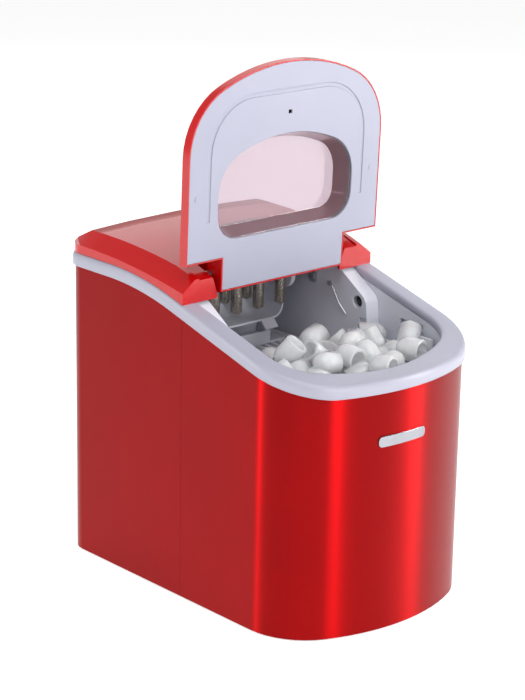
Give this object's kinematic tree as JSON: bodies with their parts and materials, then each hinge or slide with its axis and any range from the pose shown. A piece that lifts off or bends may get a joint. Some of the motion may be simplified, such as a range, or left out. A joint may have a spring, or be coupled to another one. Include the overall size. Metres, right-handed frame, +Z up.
{
  "type": "ice maker",
  "caption": "Portable countertop ice maker with a bowed painted body, a hinged lid with a window, an ice basket, a tilting water tray and cooling rods.",
  "frame": {"origin": "bottom centre of the body's bounding box, on the surface the feet stand on", "axes": "+X to the machine's right as seen from its bowed front, -Y out of the front, +Z up"},
  "size_m": [0.241, 0.35, 0.4957],
  "materials": {
    "red_steel": "gloss",
    "red_plastic": "gloss",
    "grey_plastic": "satin",
    "liner_plastic": "satin",
    "white_plastic": "satin",
    "clear_plastic": "gloss",
    "dark_plastic": "matte",
    "button_plastic": "satin",
    "lens_plastic": "gloss",
    "float_plastic": "matte",
    "sensor_plastic": "gloss",
    "soft_rubber": "matte",
    "bright_steel": "satin",
    "nickel_rods": "satin",
    "badge_metal": "polished",
    "fin_aluminium": "satin",
    "copper_tube": "satin",
    "compressor_shell": "satin",
    "foam": "matte",
    "circuit_board": "satin"
  },
  "bodies": {
    "chassis": {"front_wrap": "red_steel", "rear_wrap": "red_steel", "top_cover": "red_plastic", "rim_bezel": "grey_plastic", "liner": "liner_plastic", "left_cheek": "liner_plastic", "right_cheek": "liner_plastic", "drain_spout": "liner_plastic", "drip_deck": "white_plastic", "float_stem": "white_plastic", "reservoir_filter": "white_plastic", "water_hose": "white_plastic", "base_pan": "dark_plastic", "rear_grille": "dark_plastic", "control_panel": "dark_plastic", "water_pump": "dark_plastic", "fan_shroud": "dark_plastic", "fan_motor": "dark_plastic", "cord_gland": "dark_plastic", "indicator_lenses": "lens_plastic", "ir_emitter": "sensor_plastic", "ir_receiver": "sensor_plastic", "feet": "soft_rubber", "compressor_mounts": "soft_rubber", "hinge_pins": "bright_steel", "probe_wire": "bright_steel", "evaporator_bracket": "bright_steel", "wrap_screws": "bright_steel", "tray_motor": "bright_steel", "evaporator_head": "nickel_rods", "evaporator_rods": "nickel_rods", "front_badge": "badge_metal", "condenser_fins": "fin_aluminium", "condenser_coil": "copper_tube", "refrigerant_lines": "copper_tube", "filter_drier": "copper_tube", "compressor": "compressor_shell", "foam_jacket": "foam", "control_board": "circuit_board"},
    "lid": {"lid_shell": "red_plastic", "lid_panel": "grey_plastic", "lid_window": "clear_plastic", "window_gasket": "soft_rubber", "lid_bumpers": "grey_plastic"},
    "tray": {"water_tray": "liner_plastic"},
    "shovel": {"ice_shovel": "liner_plastic"},
    "basket": {"ice_basket": "white_plastic"},
    "power_key": {"power_button": "button_plastic"},
    "select_key": {"select_button": "button_plastic"},
    "fan": {"fan_blades": "dark_plastic"},
    "plug": {"drain_plug": "soft_rubber"},
    "float": {"water_float": "float_plastic"}
  },
  "joints": [
    {"name": "lid_hinge", "type": "hinge", "parent": "chassis", "child": "lid", "pos_m": [0, 0.0118, 0.3045], "axis": [-1, 0, 0], "range_deg": [-102.8, 0]},
    {"name": "tray_tilt", "type": "hinge", "parent": "chassis", "child": "tray", "pos_m": [0, 0.059, 0.271], "axis": [-1, 0, 0], "range_deg": [0, 90]},
    {"name": "shovel_push", "type": "slide", "parent": "chassis", "child": "shovel", "axis": [0, -1, 0], "range_m": [0, 0.058]},
    {"name": "basket_lift", "type": "slide", "parent": "chassis", "child": "basket", "axis": [0, 0, 1], "range_m": [0, 0.17]},
    {"name": "power_press", "type": "slide", "parent": "chassis", "child": "power_key", "axis": [0, 0.0872, -0.9962], "range_m": [0, 0.0012], "stiffness_N_per_m": 900},
    {"name": "select_press", "type": "slide", "parent": "chassis", "child": "select_key", "axis": [0, 0.0872, -0.9962], "range_m": [0, 0.0012], "stiffness_N_per_m": 900},
    {"name": "fan_spin", "type": "hinge", "parent": "chassis", "child": "fan", "pos_m": [-0.056, 0.117, 0.093], "axis": [0, 1, 0], "continuous": true},
    {"name": "plug_pull", "type": "slide", "parent": "chassis", "child": "plug", "axis": [1, 0, 0], "range_m": [0, 0.03]},
    {"name": "float_rise", "type": "slide", "parent": "chassis", "child": "float", "axis": [0, 0, 1], "range_m": [0, 0.012]}
  ],
  "couplings": [
    {"joint": "shovel_push", "follows": "tray_tilt", "m_per_rad": 0.0368}
  ]
}
